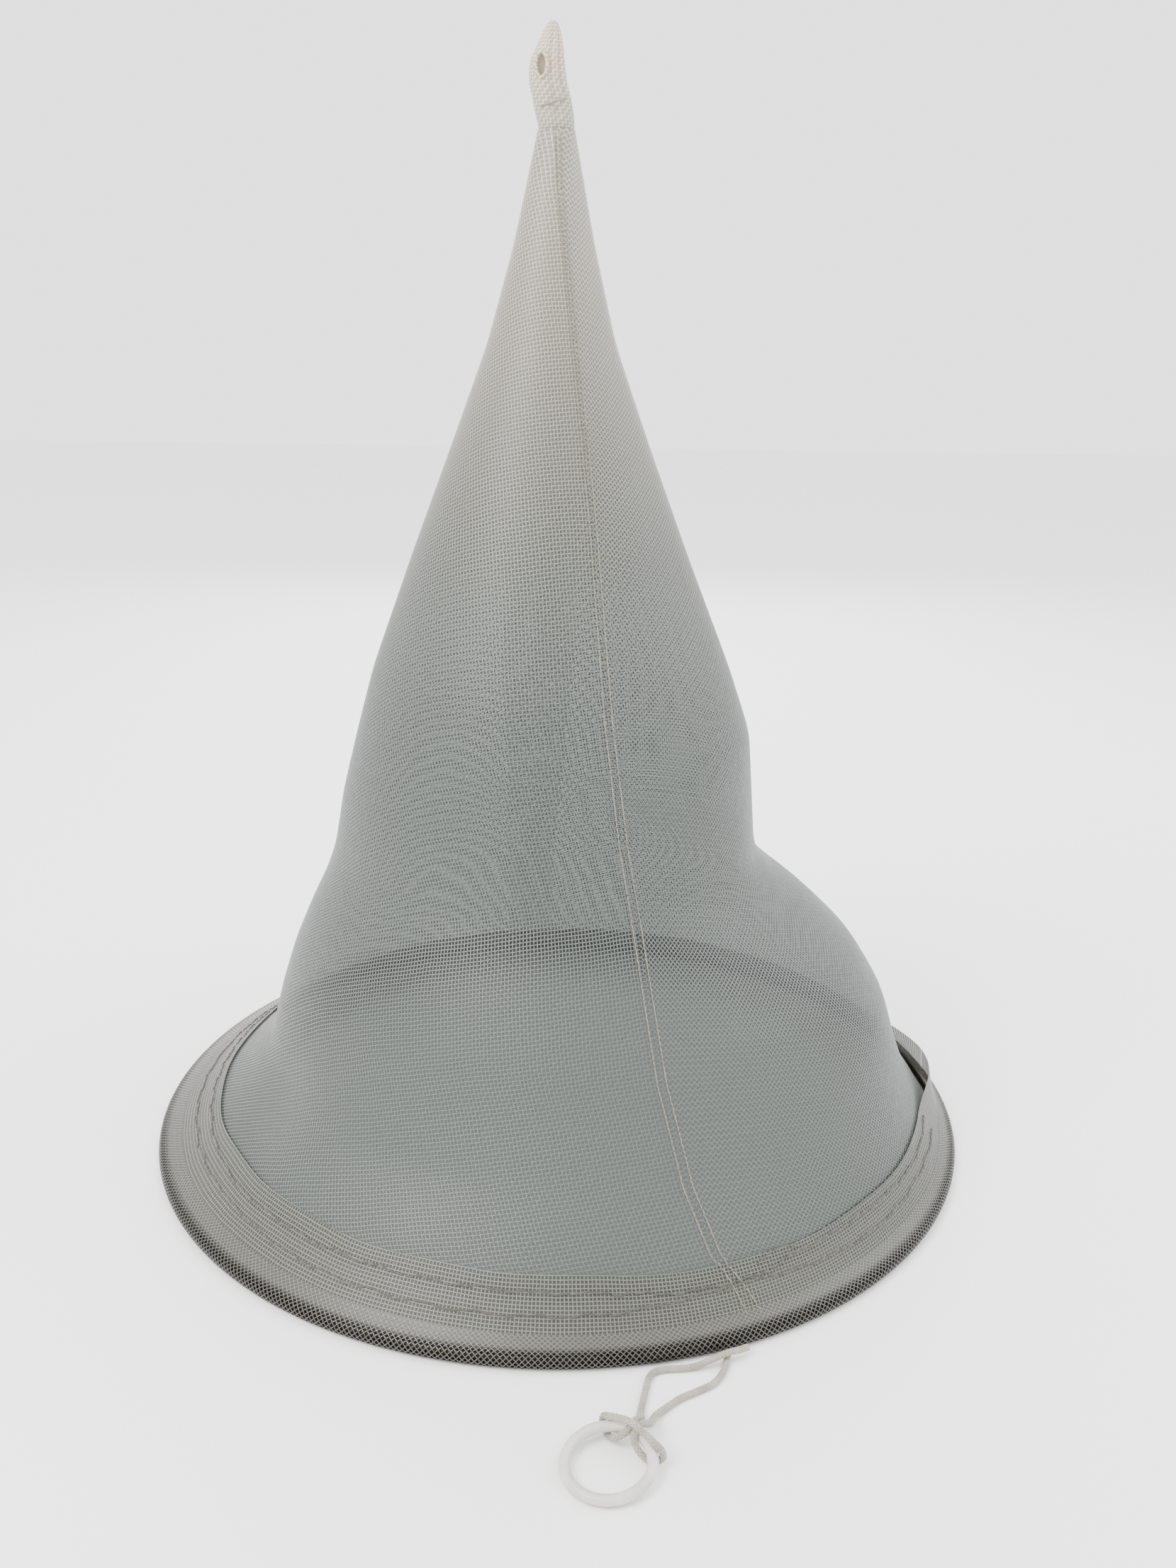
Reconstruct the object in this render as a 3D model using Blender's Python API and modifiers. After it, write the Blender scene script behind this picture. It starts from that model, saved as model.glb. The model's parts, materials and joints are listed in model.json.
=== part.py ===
"""Cone strainer of woven nylon mesh on a sprung wire hoop, standing on its mouth, tip up.

The mesh cone narrows from a wide bell at the hoop to a folded tip. A hem band is folded round
the hoop and sewn through the cone with two rows of stitching. A braided cord comes out under
the hem at the cone's seam, and a plastic pull ring hangs on it in a lark's head.

Metres, +Z up. The origin is the hoop's centre, on the surface that the hoop stands on.
"""

import math

import bmesh
import bpy
from mathutils import Matrix, Vector

MM = 0.001
OBJECT_NAME = "cone_strainer"

# Hoop and hem, in millimetres
HOOP_OUTER_RADIUS = 140.0
WIRE_RADIUS = 2.0
WIRE_TO_CLOTH = 0.2
BAND_CLOTH = 0.4
ROLL_RADIUS = WIRE_RADIUS + WIRE_TO_CLOTH + BAND_CLOTH
ROLL_MID_RADIUS = ROLL_RADIUS - BAND_CLOTH / 2
ROLL_FACET = 23.0  # degrees; one facet lies flat on the ground
HOOP_RADIUS = HOOP_OUTER_RADIUS - ROLL_RADIUS
HOOP_HEIGHT = ROLL_MID_RADIUS * math.cos(math.radians(ROLL_FACET / 2)) + BAND_CLOTH / 2
WRAP_START = -90.0 + 6.5 * ROLL_FACET  # degrees round the wire, from outwards
AZIMUTH_STEPS = 48
AZIMUTH_STEP = 360.0 / AZIMUTH_STEPS
WRAP_FACETS = 10  # facets of the roll that the cloth covers

# Mouth in the hem where the wire shows, and the corner of cloth that stands up beside it
OPENING_START = 7.5
OPENING_END = 22.5
CORNER_REACH = 22.5  # degrees of hem that lean up towards the corner
CORNER_TOP = (136.6, 14.0)  # radius, height
CORNER_SHARES = (1.0, 0.72, 0.42, 0.12)  # how far up the corner each row of the outer leaf stands

# Cone cloth
CONE_CLOTH = 0.5
GAP = 0.3  # between pieces that touch
# Each section is height, then how far the wall stands left, right, front and back of the axis.
CONE_SECTIONS = [
    (6.4, 132.5, 134.0, 133.4, 132.5),
    (10.4, 126.0, 130.6, 130.0, 126.0),
    (15.0, 120.0, 127.0, 125.6, 120.5),
    (24.0, 109.5, 121.6, 118.6, 110.0),
    (36.0, 100.0, 117.0, 109.5, 101.0),
    (52.0, 96.5, 112.5, 101.0, 96.5),
    (68.0, 91.5, 102.5, 94.5, 92.0),
    (82.0, 85.5, 87.5, 86.5, 86.0),
    (93.0, 80.0, 73.0, 78.5, 79.5),
    (103.0, 76.5, 65.5, 72.0, 74.0),
    (122.0, 73.2, 63.8, 68.5, 69.5),
    (143.0, 67.8, 62.0, 65.0, 65.5),
    (164.0, 62.0, 54.6, 58.4, 58.4),
    (200.0, 48.8, 39.8, 44.3, 44.3),
    (235.0, 35.4, 26.2, 31.0, 31.0),
    (265.0, 24.2, 15.2, 20.0, 20.0),
    (293.0, 16.2, 8.4, 12.5, 12.5),
    (325.0, 9.0, 2.0, 5.5, 5.5),
]

# Where the cone's cloth is parted: up the seam, down the back lap, and round the waist
SEAM_EDGE = -75.0
BACK_EDGE = 97.5
WAIST_HEIGHT = 82.0

# Stitching
THREAD_RADIUS = 0.35
THREAD_CLEARANCE = 0.1
HEM_ROW_HEIGHTS = {"hem_stitching_lower": 10.4, "hem_stitching_upper": 14.6}
HEM_BAND_HEIGHTS = [18.0, 15.0, 10.4, 7.6]
# Height up the front, and how far right of the axis the seam runs
SEAM_ROUTE = [(20.0, 44.4), (36.0, 36.8), (62.0, 29.4), (90.0, 24.2), (123.0, 18.2),
              (160.0, 13.2), (210.0, 8.6), (262.0, 2.8), (309.0, -2.4)]
SEAM_ROWS_APART = (2.9, 1.5)  # at the hem, at the tip

# Lap joint down the inside of the back: height, and the azimuths of its two edges
LAP_EDGES = [(24.0, 92.0, 101.0), (68.0, 92.0, 104.0), (122.0, 89.0, 108.0),
             (164.0, 85.5, 112.5), (293.0, 78.0, 122.0)]

# Tip: height, middle, half width and half depth of each section of the folded tab
TIP_SECTIONS = [(325.6, -3.5, 5.2, 4.6), (330.0, -4.2, 5.6, 4.2), (336.0, -5.8, 5.4, 3.6),
                (342.0, -6.4, 5.0, 3.2), (348.0, -5.4, 3.6, 2.6), (352.4, -4.8, 2.2, 1.8),
                (353.6, -4.6, 1.1, 1.0)]
TIP_EYE = (-7.7, 342.0, 1.1, 2.3)  # middle, height, half width, half height

# Pull ring and its cord
RING_OUTER_RADIUS = 12.5
RING_TUBE_RADIUS = 1.5
RING_MID_RADIUS = RING_OUTER_RADIUS - RING_TUBE_RADIUS
CORD_RADIUS = 1.0
RING_CENTRE = (13.0, -174.0)
HITCH_AZIMUTH = 50.0  # where on the ring the hitch sits
HITCH_SPAN = 74.0  # degrees of the ring that its two turns cover
HITCH_CLEARANCE = 0.3
HITCH_ON_RING = 0.05
HITCH_TUBE_RADIUS = RING_TUBE_RADIUS + HITCH_CLEARANCE + 2 * CORD_RADIUS
LONG_LEG = [(52.6, -131.7, 2.2), (49.6, -134.0, 3.1), (46.4, -135.4, 3.35), (42.4, -137.0, 2.6),
            (38.0, -138.1, 1.4), (33.5, -138.7, 1.02), (29.6, -139.0, 1.02),
            (26.6, -139.9, 1.02), (24.9, -142.0, 1.02), (23.9, -145.6, 1.02),
            (22.6, -151.4, 1.02), (21.6, -156.6, 1.5), (21.2, -160.9, 2.9)]
SHORT_LEG = [(46.9, -133.4, 1.02), (46.3, -136.3, 1.02), (44.8, -140.4, 1.02),
             (42.0, -144.4, 1.02), (37.6, -147.2, 1.02), (33.0, -149.8, 1.02),
             (28.8, -153.4, 1.1), (25.6, -157.2, 1.8), (23.2, -161.9, 2.9)]
LOOP_PIVOT = (49.95, -132.9, 3.0)
HITCH_PIVOT = (22.6, -160.7, 2.9)

COLOURS = {
    "mesh": ((0.62, 0.65, 0.62), 0.55, 0.0),
    "band": ((0.66, 0.67, 0.63), 0.60, 0.0),
    "thread": ((0.70, 0.64, 0.53), 0.75, 0.0),
    "wire": ((0.30, 0.28, 0.25), 0.32, 1.0),
    "cord": ((0.83, 0.80, 0.74), 0.70, 0.0),
    "ring": ((0.86, 0.85, 0.81), 0.35, 0.0),
}


def clear_scene():
    for item in list(bpy.data.objects):
        bpy.data.objects.remove(item, do_unlink=True)
    for group in list(bpy.data.collections):
        bpy.data.collections.remove(group)


def make_collection(name):
    group = bpy.data.collections.new(name)
    bpy.context.scene.collection.children.link(group)
    return group


def make_material(name):
    colour, roughness, metallic = COLOURS[name]
    material = bpy.data.materials.new(name)
    material.use_nodes = True
    shader = material.node_tree.nodes["Principled BSDF"]
    shader.inputs["Base Color"].default_value = (*colour, 1.0)
    shader.inputs["Roughness"].default_value = roughness
    shader.inputs["Metallic"].default_value = metallic
    return material


def place_of(pivot):
    """Where a pivot is in the world; no pivot that has children of its own is turned."""
    if pivot is None:
        return Vector()
    return pivot.location + place_of(pivot.parent)


def add_mesh(name, vertices, faces, material, parent):
    """Makes an object from points in millimetres, its origin at its parent's place."""
    mesh = bpy.data.meshes.new(name)
    offset = place_of(parent)
    mesh.from_pydata([Vector(v) * MM - offset for v in vertices], [], faces)
    mesh.validate()
    mesh.shade_smooth()
    mesh.set_sharp_from_angle(angle=math.radians(40))
    mesh.materials.append(material)
    item = bpy.data.objects.new(name, mesh)
    item.parent = parent
    PARTS.objects.link(item)
    return item


def add_pivot(name, place, turn=None, parent=None):
    """An empty on a joint's axis; the moving pieces are its children."""
    pivot = bpy.data.objects.new(name, None)
    pivot.location = Vector(place) * MM - place_of(parent)
    pivot.parent = parent
    if turn:
        pivot.rotation_euler = turn
    pivot.empty_display_size = 0.01
    PARTS.objects.link(pivot)
    return pivot


def grid_faces(rows, columns, closed):
    """Quads of a rows by columns grid of points, joined into a loop along the columns if closed."""
    faces = []
    for row in range(rows - 1):
        for column in range(columns if closed else columns - 1):
            after = (column + 1) % columns
            faces.append((row * columns + column, row * columns + after,
                          (row + 1) * columns + after, (row + 1) * columns + column))
    return faces


def add_solidify(item, thickness):
    shell = item.modifiers.new("cloth", "SOLIDIFY")
    shell.thickness = thickness * MM
    shell.offset = 0.0
    shell.use_even_offset = True


def section_at(height):
    """The cone's section at a height: its middle x and y, and its half width and half depth."""
    below = CONE_SECTIONS[0]
    for above in CONE_SECTIONS[1:]:
        if height <= above[0]:
            break
        below = above
    share = (height - below[0]) / (above[0] - below[0])
    left, right, front, back = (a + (b - a) * share for a, b in zip(below[1:], above[1:]))
    return (right - left) / 2, (back - front) / 2, (left + right) / 2, (front + back) / 2


def wall_radius(azimuth, height):
    """How far the wall's middle is from the axis, along an azimuth in degrees."""
    middle_x, middle_y, half_width, half_depth = section_at(height)
    along_x = math.cos(math.radians(azimuth)) / half_width
    along_y = math.sin(math.radians(azimuth)) / half_depth
    offset_x, offset_y = middle_x / half_width, middle_y / half_depth
    square = along_x ** 2 + along_y ** 2
    half = along_x * offset_x + along_y * offset_y
    rest = offset_x ** 2 + offset_y ** 2 - 1
    return (half + math.sqrt(half ** 2 - square * rest)) / square


def wall_offset(azimuth, height, distance):
    """Radius and height of a point that stands a distance off the wall, outwards."""
    lower = max(height - 1.0, CONE_SECTIONS[0][0])
    upper = lower + 2.0
    lean = wall_radius(azimuth, upper) - wall_radius(azimuth, lower)
    length = math.hypot(lean, upper - lower)
    return (wall_radius(azimuth, height) + distance * (upper - lower) / length,
            height - distance * lean / length)


def polar(radius, azimuth, height):
    angle = math.radians(azimuth)
    return (radius * math.cos(angle), radius * math.sin(angle), height)


def smooth_route(points, steps):
    """Points along a smooth curve through the given points, evenly spaced."""
    dense = []
    ends = [points[0]] + list(points) + [points[-1]]
    for before, start, end, after in zip(ends, ends[1:], ends[2:], ends[3:]):
        before, start, end, after = (Vector(p) for p in (before, start, end, after))
        for step in range(12):
            t = step / 12
            dense.append(0.5 * (2 * start + (end - before) * t
                                + (2 * before - 5 * start + 4 * end - after) * t ** 2
                                + (3 * start - before - 3 * end + after) * t ** 3))
    dense.append(Vector(points[-1]))
    lengths = [0.0]
    for start, end in zip(dense, dense[1:]):
        lengths.append(lengths[-1] + (end - start).length)
    route = []
    index = 0
    for step in range(steps + 1):
        target = lengths[-1] * step / steps
        while index < len(lengths) - 2 and lengths[index + 1] < target:
            index += 1
        share = (target - lengths[index]) / (lengths[index + 1] - lengths[index])
        route.append(dense[index].lerp(dense[index + 1], min(share, 1.0)))
    return route


def add_tube(name, route, radius, material, parent=None):
    """A round tube along points in millimetres, with its ends capped."""
    curve = bpy.data.curves.new(name, "CURVE")
    curve.dimensions = "3D"
    curve.bevel_depth = radius * MM
    curve.bevel_resolution = 2 if radius >= CORD_RADIUS else 1
    curve.use_fill_caps = True
    line = curve.splines.new("POLY")
    line.points.add(len(route) - 1)
    offset = place_of(parent)
    for point, place in zip(line.points, route):
        point.co = (*(Vector(place) * MM - offset), 1.0)
    curve.materials.append(material)
    item = bpy.data.objects.new(name, curve)
    item.parent = parent
    PARTS.objects.link(item)
    return item


def make_cone(material):
    """The cone's cloth, in four closed sheets: left and right of the seam, below and above the waist."""
    heights = [section[0] for section in CONE_SECTIONS]
    waist = heights.index(WAIST_HEIGHT)
    for level, rows in (("lower", heights[:waist + 1]), ("upper", heights[waist:])):
        for side, first, last in (("left", BACK_EDGE, SEAM_EDGE + 360.0),
                                  ("right", SEAM_EDGE, BACK_EDGE)):
            make_cone_sheet(f"mesh_{level}_{side}", rows, first, last, material)


def make_cone_sheet(name, heights, first, last, material):
    """One sheet between two heights and two azimuths, short of its neighbours by half a gap."""
    columns = round((last - first) / AZIMUTH_STEP)
    vertices = []
    for height in heights:
        if height == WAIST_HEIGHT:
            height += GAP / 2 if height == heights[0] else -GAP / 2
        inset = math.degrees(GAP / 2 / wall_radius(first, height))
        for column in range(columns + 1):
            azimuth = first + (last - first) * column / columns
            if column == 0:
                azimuth += inset
            if column == columns:
                azimuth -= inset
            vertices.append(polar(wall_radius(azimuth, height), azimuth, height))
    faces = grid_faces(len(heights), columns + 1, closed=False)
    add_solidify(add_mesh(name, vertices, faces, material, None), CONE_CLOTH)


def lap_edges_at(height):
    for below, above in zip(LAP_EDGES, LAP_EDGES[1:]):
        if height <= above[0]:
            share = (height - below[0]) / (above[0] - below[0])
            return [a + (b - a) * share for a, b in zip(below[1:], above[1:])]
    return LAP_EDGES[-1][1:]


def make_back_lap(material):
    """A second layer of cloth where the two edges overlap down the back."""
    columns = 4
    depth = -(CONE_CLOTH / 2 + GAP + BAND_CLOTH / 2)
    low, high = LAP_EDGES[0][0], LAP_EDGES[-1][0]
    heights = [section[0] for section in CONE_SECTIONS if low <= section[0] <= high]
    vertices = []
    for height in heights:
        first, last = lap_edges_at(height)
        for column in range(columns):
            azimuth = first + (last - first) * column / (columns - 1)
            radius, level = wall_offset(azimuth, height, depth)
            vertices.append(polar(radius - GAP, azimuth, level))
    faces = grid_faces(len(heights), columns, closed=False)
    add_solidify(add_mesh("back_lap", vertices, faces, material, None), BAND_CLOTH)


def hem_azimuths():
    steps = round((360 - OPENING_END + OPENING_START) / AZIMUTH_STEP)
    return [OPENING_END + step * AZIMUTH_STEP for step in range(steps + 1)]


def hem_section(azimuth):
    """Radius and height along the band: down its outer leaf, round the wire, up its inner leaf."""
    stand_off = CONE_CLOTH / 2 + GAP + BAND_CLOTH / 2
    outer = [wall_offset(azimuth, height, stand_off) for height in HEM_BAND_HEIGHTS]
    inner = [wall_offset(azimuth, height, -stand_off) for height in reversed(HEM_BAND_HEIGHTS)]
    lift = max(0.0, 1 - (360 + OPENING_START - azimuth) / CORNER_REACH)
    for index, share in enumerate(CORNER_SHARES):
        radius, height = outer[index]
        up_radius = HOOP_RADIUS + (CORNER_TOP[0] - HOOP_RADIUS) * share
        up_height = HOOP_HEIGHT + ROLL_RADIUS + (CORNER_TOP[1] - HOOP_HEIGHT - ROLL_RADIUS) * share
        outer[index] = (radius + (up_radius - radius) * lift, height + (up_height - height) * lift)
    wrap = []
    for step in range(WRAP_FACETS + 1):
        angle = math.radians(WRAP_START - step * ROLL_FACET)
        wrap.append((HOOP_RADIUS + ROLL_MID_RADIUS * math.cos(angle),
                     HOOP_HEIGHT + ROLL_MID_RADIUS * math.sin(angle)))
    return outer + wrap + inner


def make_hem_band(material):
    azimuths = hem_azimuths()
    vertices = []
    for azimuth in azimuths:
        vertices += [polar(radius, azimuth, height) for radius, height in hem_section(azimuth)]
    columns = len(hem_section(azimuths[0]))
    faces = grid_faces(len(azimuths), columns, closed=False)
    add_solidify(add_mesh("hem_band", vertices, faces, material, None), BAND_CLOTH)


def make_hem_stitching(material):
    stand_off = CONE_CLOTH / 2 + BAND_CLOTH + 2 * GAP + THREAD_RADIUS + THREAD_CLEARANCE
    for name, height in HEM_ROW_HEIGHTS.items():
        last = 360 + OPENING_START - CORNER_REACH
        route = [azimuth for azimuth in hem_azimuths() if azimuth <= last]
        points = []
        for azimuth in route:
            radius, level = wall_offset(azimuth, height, stand_off)
            points.append(polar(radius, azimuth, level))
        add_tube(name, points, THREAD_RADIUS, material)


def make_seam_stitching(material):
    """Two rows of stitches up the front seam, wide apart at the hem and closer at the tip."""
    stand_off = CONE_CLOTH / 2 + GAP + THREAD_RADIUS + THREAD_CLEARANCE
    low, high = SEAM_ROUTE[0][0], SEAM_ROUTE[-1][0]
    route = smooth_route([(x, 0.0, height) for height, x in SEAM_ROUTE], 40)
    for name, side in (("seam_stitching_left", -0.5), ("seam_stitching_right", 0.5)):
        points = []
        for along, _, height in route:
            share = (height - low) / (high - low)
            apart = SEAM_ROWS_APART[0] + (SEAM_ROWS_APART[1] - SEAM_ROWS_APART[0]) * share
            middle_x, middle_y, half_width, half_depth = section_at(height)
            x = along + side * apart
            y = middle_y - half_depth * math.sqrt(1 - ((x - middle_x) / half_width) ** 2)
            azimuth = math.degrees(math.atan2(y, x))
            radius, level = wall_offset(azimuth, height, stand_off)
            points.append(polar(radius, azimuth, level))
        add_tube(name, points, THREAD_RADIUS, material)


def make_hoop(material):
    bpy.ops.mesh.primitive_torus_add(
        major_segments=AZIMUTH_STEPS, minor_segments=10, major_radius=HOOP_RADIUS * MM,
        minor_radius=WIRE_RADIUS * MM, location=(0.0, 0.0, HOOP_HEIGHT * MM))
    hoop = bpy.context.object
    hoop.name = "wire_hoop"
    hoop.data.materials.append(material)
    hoop.data.shade_smooth()
    move_to(hoop, PARTS)


def move_to(item, group):
    for old in item.users_collection:
        old.objects.unlink(item)
    group.objects.link(item)


def make_tip(cloth, thread):
    """The folded end of the cone, with the small open eye of its fold, and the tack across it."""
    around = 20
    pivot = add_pivot("tip_pivot", (TIP_SECTIONS[0][1], 0.0, TIP_SECTIONS[0][0]))
    vertices = []
    for height, middle, half_width, half_depth in TIP_SECTIONS:
        for step in range(around):
            angle = 2 * math.pi * step / around
            vertices.append((middle + half_width * math.cos(angle),
                             half_depth * math.sin(angle), height))
    faces = grid_faces(len(TIP_SECTIONS), around, closed=True)
    faces.append(tuple(reversed(range(around))))
    faces.append(tuple(range(len(vertices) - around, len(vertices))))
    tab = add_mesh("tip_tab", vertices, faces, cloth, pivot)

    x, height, half_width, half_height = TIP_EYE
    bpy.ops.mesh.primitive_cylinder_add(
        vertices=16, radius=MM, depth=20 * MM, location=(x * MM, 0.0, height * MM),
        rotation=(math.pi / 2, 0.0, 0.0))
    cutter = bpy.context.object
    cutter.name = "tip_eye_cutter"
    cutter.scale = (half_width, half_height, 1.0)
    cutter.display_type = "WIRE"
    cutter.hide_render = True
    move_to(cutter, CUTTERS)
    cut = tab.modifiers.new("eye", "BOOLEAN")
    cut.operation = "DIFFERENCE"
    cut.object = cutter

    front = -(TIP_SECTIONS[1][3] + GAP + THREAD_RADIUS)
    middle = TIP_SECTIONS[1][1]
    tack = [(middle - 3.0, front + 1.0, 331.0), (middle - 1.0, front, 331.4),
            (middle + 1.2, front, 331.8), (middle + 3.2, front + 1.0, 332.2)]
    add_tube("tip_tack", smooth_route(tack, 8), THREAD_RADIUS, thread, pivot)


def ring_frame():
    """Where the ring's centre is, its tilt, and the level axis that it tilts about.

    Its far side lies on the ground and its near side rests on the turns of cord.
    """
    towards = Vector((math.cos(math.radians(HITCH_AZIMUTH)),
                      math.sin(math.radians(HITCH_AZIMUTH)), 0.0))
    end_reach = RING_MID_RADIUS * math.cos(math.radians(HITCH_SPAN / 2))
    rise = HITCH_TUBE_RADIUS + HITCH_ON_RING - RING_TUBE_RADIUS
    tilt = math.asin(rise / (RING_MID_RADIUS + end_reach))
    height = RING_TUBE_RADIUS + RING_MID_RADIUS * math.sin(tilt)
    return Vector((*RING_CENTRE, height)), tilt, towards.cross(Vector((0.0, 0.0, 1.0)))


def make_ring(material, parent):
    centre, tilt, axis = ring_frame()
    pivot = add_pivot("ring_pivot", centre, Matrix.Rotation(tilt, 3, axis).to_euler(), parent)
    bpy.ops.mesh.primitive_torus_add(
        major_segments=40, minor_segments=10, major_radius=RING_MID_RADIUS * MM,
        minor_radius=RING_TUBE_RADIUS * MM)
    ring = bpy.context.object
    ring.name = "pull_ring"
    ring.parent = pivot
    ring.data.materials.append(material)
    ring.data.shade_smooth()
    move_to(ring, PARTS)


def make_hitch(material, parent):
    """The turns of cord round the ring, as a sleeve of their outer shape."""
    centre, tilt, axis = ring_frame()
    steps = 8
    around = 12
    lean = Matrix.Rotation(tilt, 3, axis)
    inner_radius = RING_TUBE_RADIUS + HITCH_CLEARANCE
    vertices = []
    for step in range(steps + 1):
        azimuth = math.radians(HITCH_AZIMUTH - HITCH_SPAN / 2 + HITCH_SPAN * step / steps)
        outward = Vector((math.cos(azimuth), math.sin(azimuth), 0.0))
        for radius in (HITCH_TUBE_RADIUS, inner_radius):
            for turn in range(around):
                angle = 2 * math.pi * turn / around
                spoke = outward * (RING_MID_RADIUS + radius * math.cos(angle))
                vertices.append(centre + lean @ (spoke + Vector((0, 0, radius * math.sin(angle)))))
    faces = []
    ring_size = 2 * around
    for step in range(steps):
        for turn in range(around):
            after = (turn + 1) % around
            here, there = step * ring_size, (step + 1) * ring_size
            faces.append((here + turn, here + after, there + after, there + turn))
            faces.append((here + around + after, here + around + turn,
                          there + around + turn, there + around + after))
    for end in (0, steps * ring_size):
        for turn in range(around):
            after = (turn + 1) % around
            faces.append((end + turn, end + after, end + around + after, end + around + turn))
    sleeve = add_mesh("cord_hitch", vertices, faces, material, parent)
    shape = bmesh.new()
    shape.from_mesh(sleeve.data)
    bmesh.ops.recalc_face_normals(shape, faces=shape.faces)
    shape.to_mesh(sleeve.data)
    shape.free()


def make_cord_and_ring(cord, plastic):
    loop_pivot = add_pivot("loop_pivot", LOOP_PIVOT)
    add_tube("cord_long_leg", smooth_route(LONG_LEG, 28), CORD_RADIUS, cord, loop_pivot)
    add_tube("cord_short_leg", smooth_route(SHORT_LEG, 20), CORD_RADIUS, cord, loop_pivot)
    hitch_pivot = add_pivot("hitch_pivot", HITCH_PIVOT, parent=loop_pivot)
    make_hitch(cord, hitch_pivot)
    make_ring(plastic, hitch_pivot)


clear_scene()
PARTS = make_collection(OBJECT_NAME)
CUTTERS = make_collection("cutters")
CLOTH = make_material("mesh")
BAND = make_material("band")
THREAD = make_material("thread")
make_cone(CLOTH)
make_back_lap(CLOTH)
make_hem_band(BAND)
make_hem_stitching(THREAD)
make_seam_stitching(THREAD)
make_hoop(make_material("wire"))
make_tip(CLOTH, THREAD)
make_cord_and_ring(make_material("cord"), make_material("ring"))
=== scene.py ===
import json
import math

import bmesh
import bpy
from mathutils import Matrix, Vector
from mathutils.bvhtree import BVHTree

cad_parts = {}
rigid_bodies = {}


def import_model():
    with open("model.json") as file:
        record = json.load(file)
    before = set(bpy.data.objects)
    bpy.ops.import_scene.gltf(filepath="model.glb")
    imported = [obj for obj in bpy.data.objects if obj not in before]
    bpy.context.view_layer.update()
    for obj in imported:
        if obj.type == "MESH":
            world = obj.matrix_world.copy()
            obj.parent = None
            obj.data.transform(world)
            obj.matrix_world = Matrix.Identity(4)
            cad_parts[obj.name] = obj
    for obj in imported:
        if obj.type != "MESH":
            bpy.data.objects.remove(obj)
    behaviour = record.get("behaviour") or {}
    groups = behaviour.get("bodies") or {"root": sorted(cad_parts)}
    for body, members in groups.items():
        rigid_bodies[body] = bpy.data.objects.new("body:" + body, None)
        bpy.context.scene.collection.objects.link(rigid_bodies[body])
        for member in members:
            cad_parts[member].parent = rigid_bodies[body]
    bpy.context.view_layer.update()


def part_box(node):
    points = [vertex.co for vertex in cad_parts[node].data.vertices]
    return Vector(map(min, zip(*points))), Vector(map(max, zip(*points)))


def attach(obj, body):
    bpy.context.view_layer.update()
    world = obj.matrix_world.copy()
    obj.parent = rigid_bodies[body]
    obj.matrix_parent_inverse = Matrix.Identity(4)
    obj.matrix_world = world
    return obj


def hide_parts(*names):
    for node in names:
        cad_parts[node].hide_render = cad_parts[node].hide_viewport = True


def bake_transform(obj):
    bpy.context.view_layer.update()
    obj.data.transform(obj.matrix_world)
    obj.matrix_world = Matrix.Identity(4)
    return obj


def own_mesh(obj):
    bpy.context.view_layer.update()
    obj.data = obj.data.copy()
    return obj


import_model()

mm = 0.001
hemBody, tipBody, loopBody, hitchBody, ringBody = "hoop_and_cone", "tip", "cord_loop", "hitch", "ring"
coneNodes = ["mesh_lower_left", "mesh_lower_right", "mesh_upper_left", "mesh_upper_right"]

# the hoop fills the lower half of a tall frame
cameraSettings = dict(place=(0.0, -0.456, 0.2691), pitch=17.79, yaw=1.092, roll=0.863, lens=32.55,
                      sensor=36.0, near=0.01)
lightSettings = dict(
    key=dict(place=(-0.6, -0.5, 0.9), size=0.6, watts=16.0, colour=(1.0, 0.98, 0.95)),
    side=dict(place=(0.8, 0.1, 0.7), size=0.8, watts=7.0, colour=(0.95, 0.98, 1.0)),
    back=dict(place=(0.0, 0.9, 0.6), size=0.8, watts=8.0, colour=(1.0, 1.0, 1.0)))
lightAim = (0.0, 0.0, 0.1)
worldGrey = 2.5
floorSettings = dict(size=6.0, colour=(0.93, 0.93, 0.93), speck=(0.91, 0.91, 0.91))


def linkNew(obj):
    bpy.context.scene.collection.objects.link(obj)
    return obj


def meshObject(name, points, faces, material=None):
    mesh = bpy.data.meshes.new(name)
    mesh.from_pydata([tuple(p) for p in points], [], faces)
    mesh.shade_smooth()
    if material:
        mesh.materials.append(material)
    return linkNew(bpy.data.objects.new(name, mesh))


def gridFaces(rows, columns, closed=False):
    faces = []
    for r in range(rows - 1):
        for c in range(columns if closed else columns - 1):
            d = (c + 1) % columns
            faces.append((r * columns + c, r * columns + d, (r + 1) * columns + d, (r + 1) * columns + c))
    return faces


def addUv(obj, layerName, places):
    layer = obj.data.uv_layers.new(name=layerName)
    for loop in obj.data.loops:
        layer.data[loop.index].uv = places[loop.vertex_index]


def normalsOut(obj):
    shape = bmesh.new()
    shape.from_mesh(obj.data)
    bmesh.ops.recalc_face_normals(shape, faces=shape.faces)
    shape.to_mesh(obj.data)
    shape.free()


def ease(x):
    x = min(max(x, 0.0), 1.0)
    return x * x * (3 - 2 * x)


def between(table, x):  # straight line through rows of (x, y)
    if x <= table[0][0]:
        return table[0][1]
    for (x0, y0), (x1, y1) in zip(table, table[1:]):
        if x <= x1:
            return y0 + (y1 - y0) * (x - x0) / (x1 - x0)
    return table[-1][1]


def catmull(points, perSpan=12):
    ends = [points[0]] + list(points) + [points[-1]]
    out = []
    for a, b, c, d in zip(ends, ends[1:], ends[2:], ends[3:]):
        a, b, c, d = Vector(a), Vector(b), Vector(c), Vector(d)
        for k in range(perSpan):
            t = k / perSpan
            out.append(0.5 * (2 * b + (c - a) * t + (2 * a - 5 * b + 4 * c - d) * t * t
                              + (3 * b - a - 3 * c + d) * t ** 3))
    out.append(Vector(points[-1]))
    return out


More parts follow.
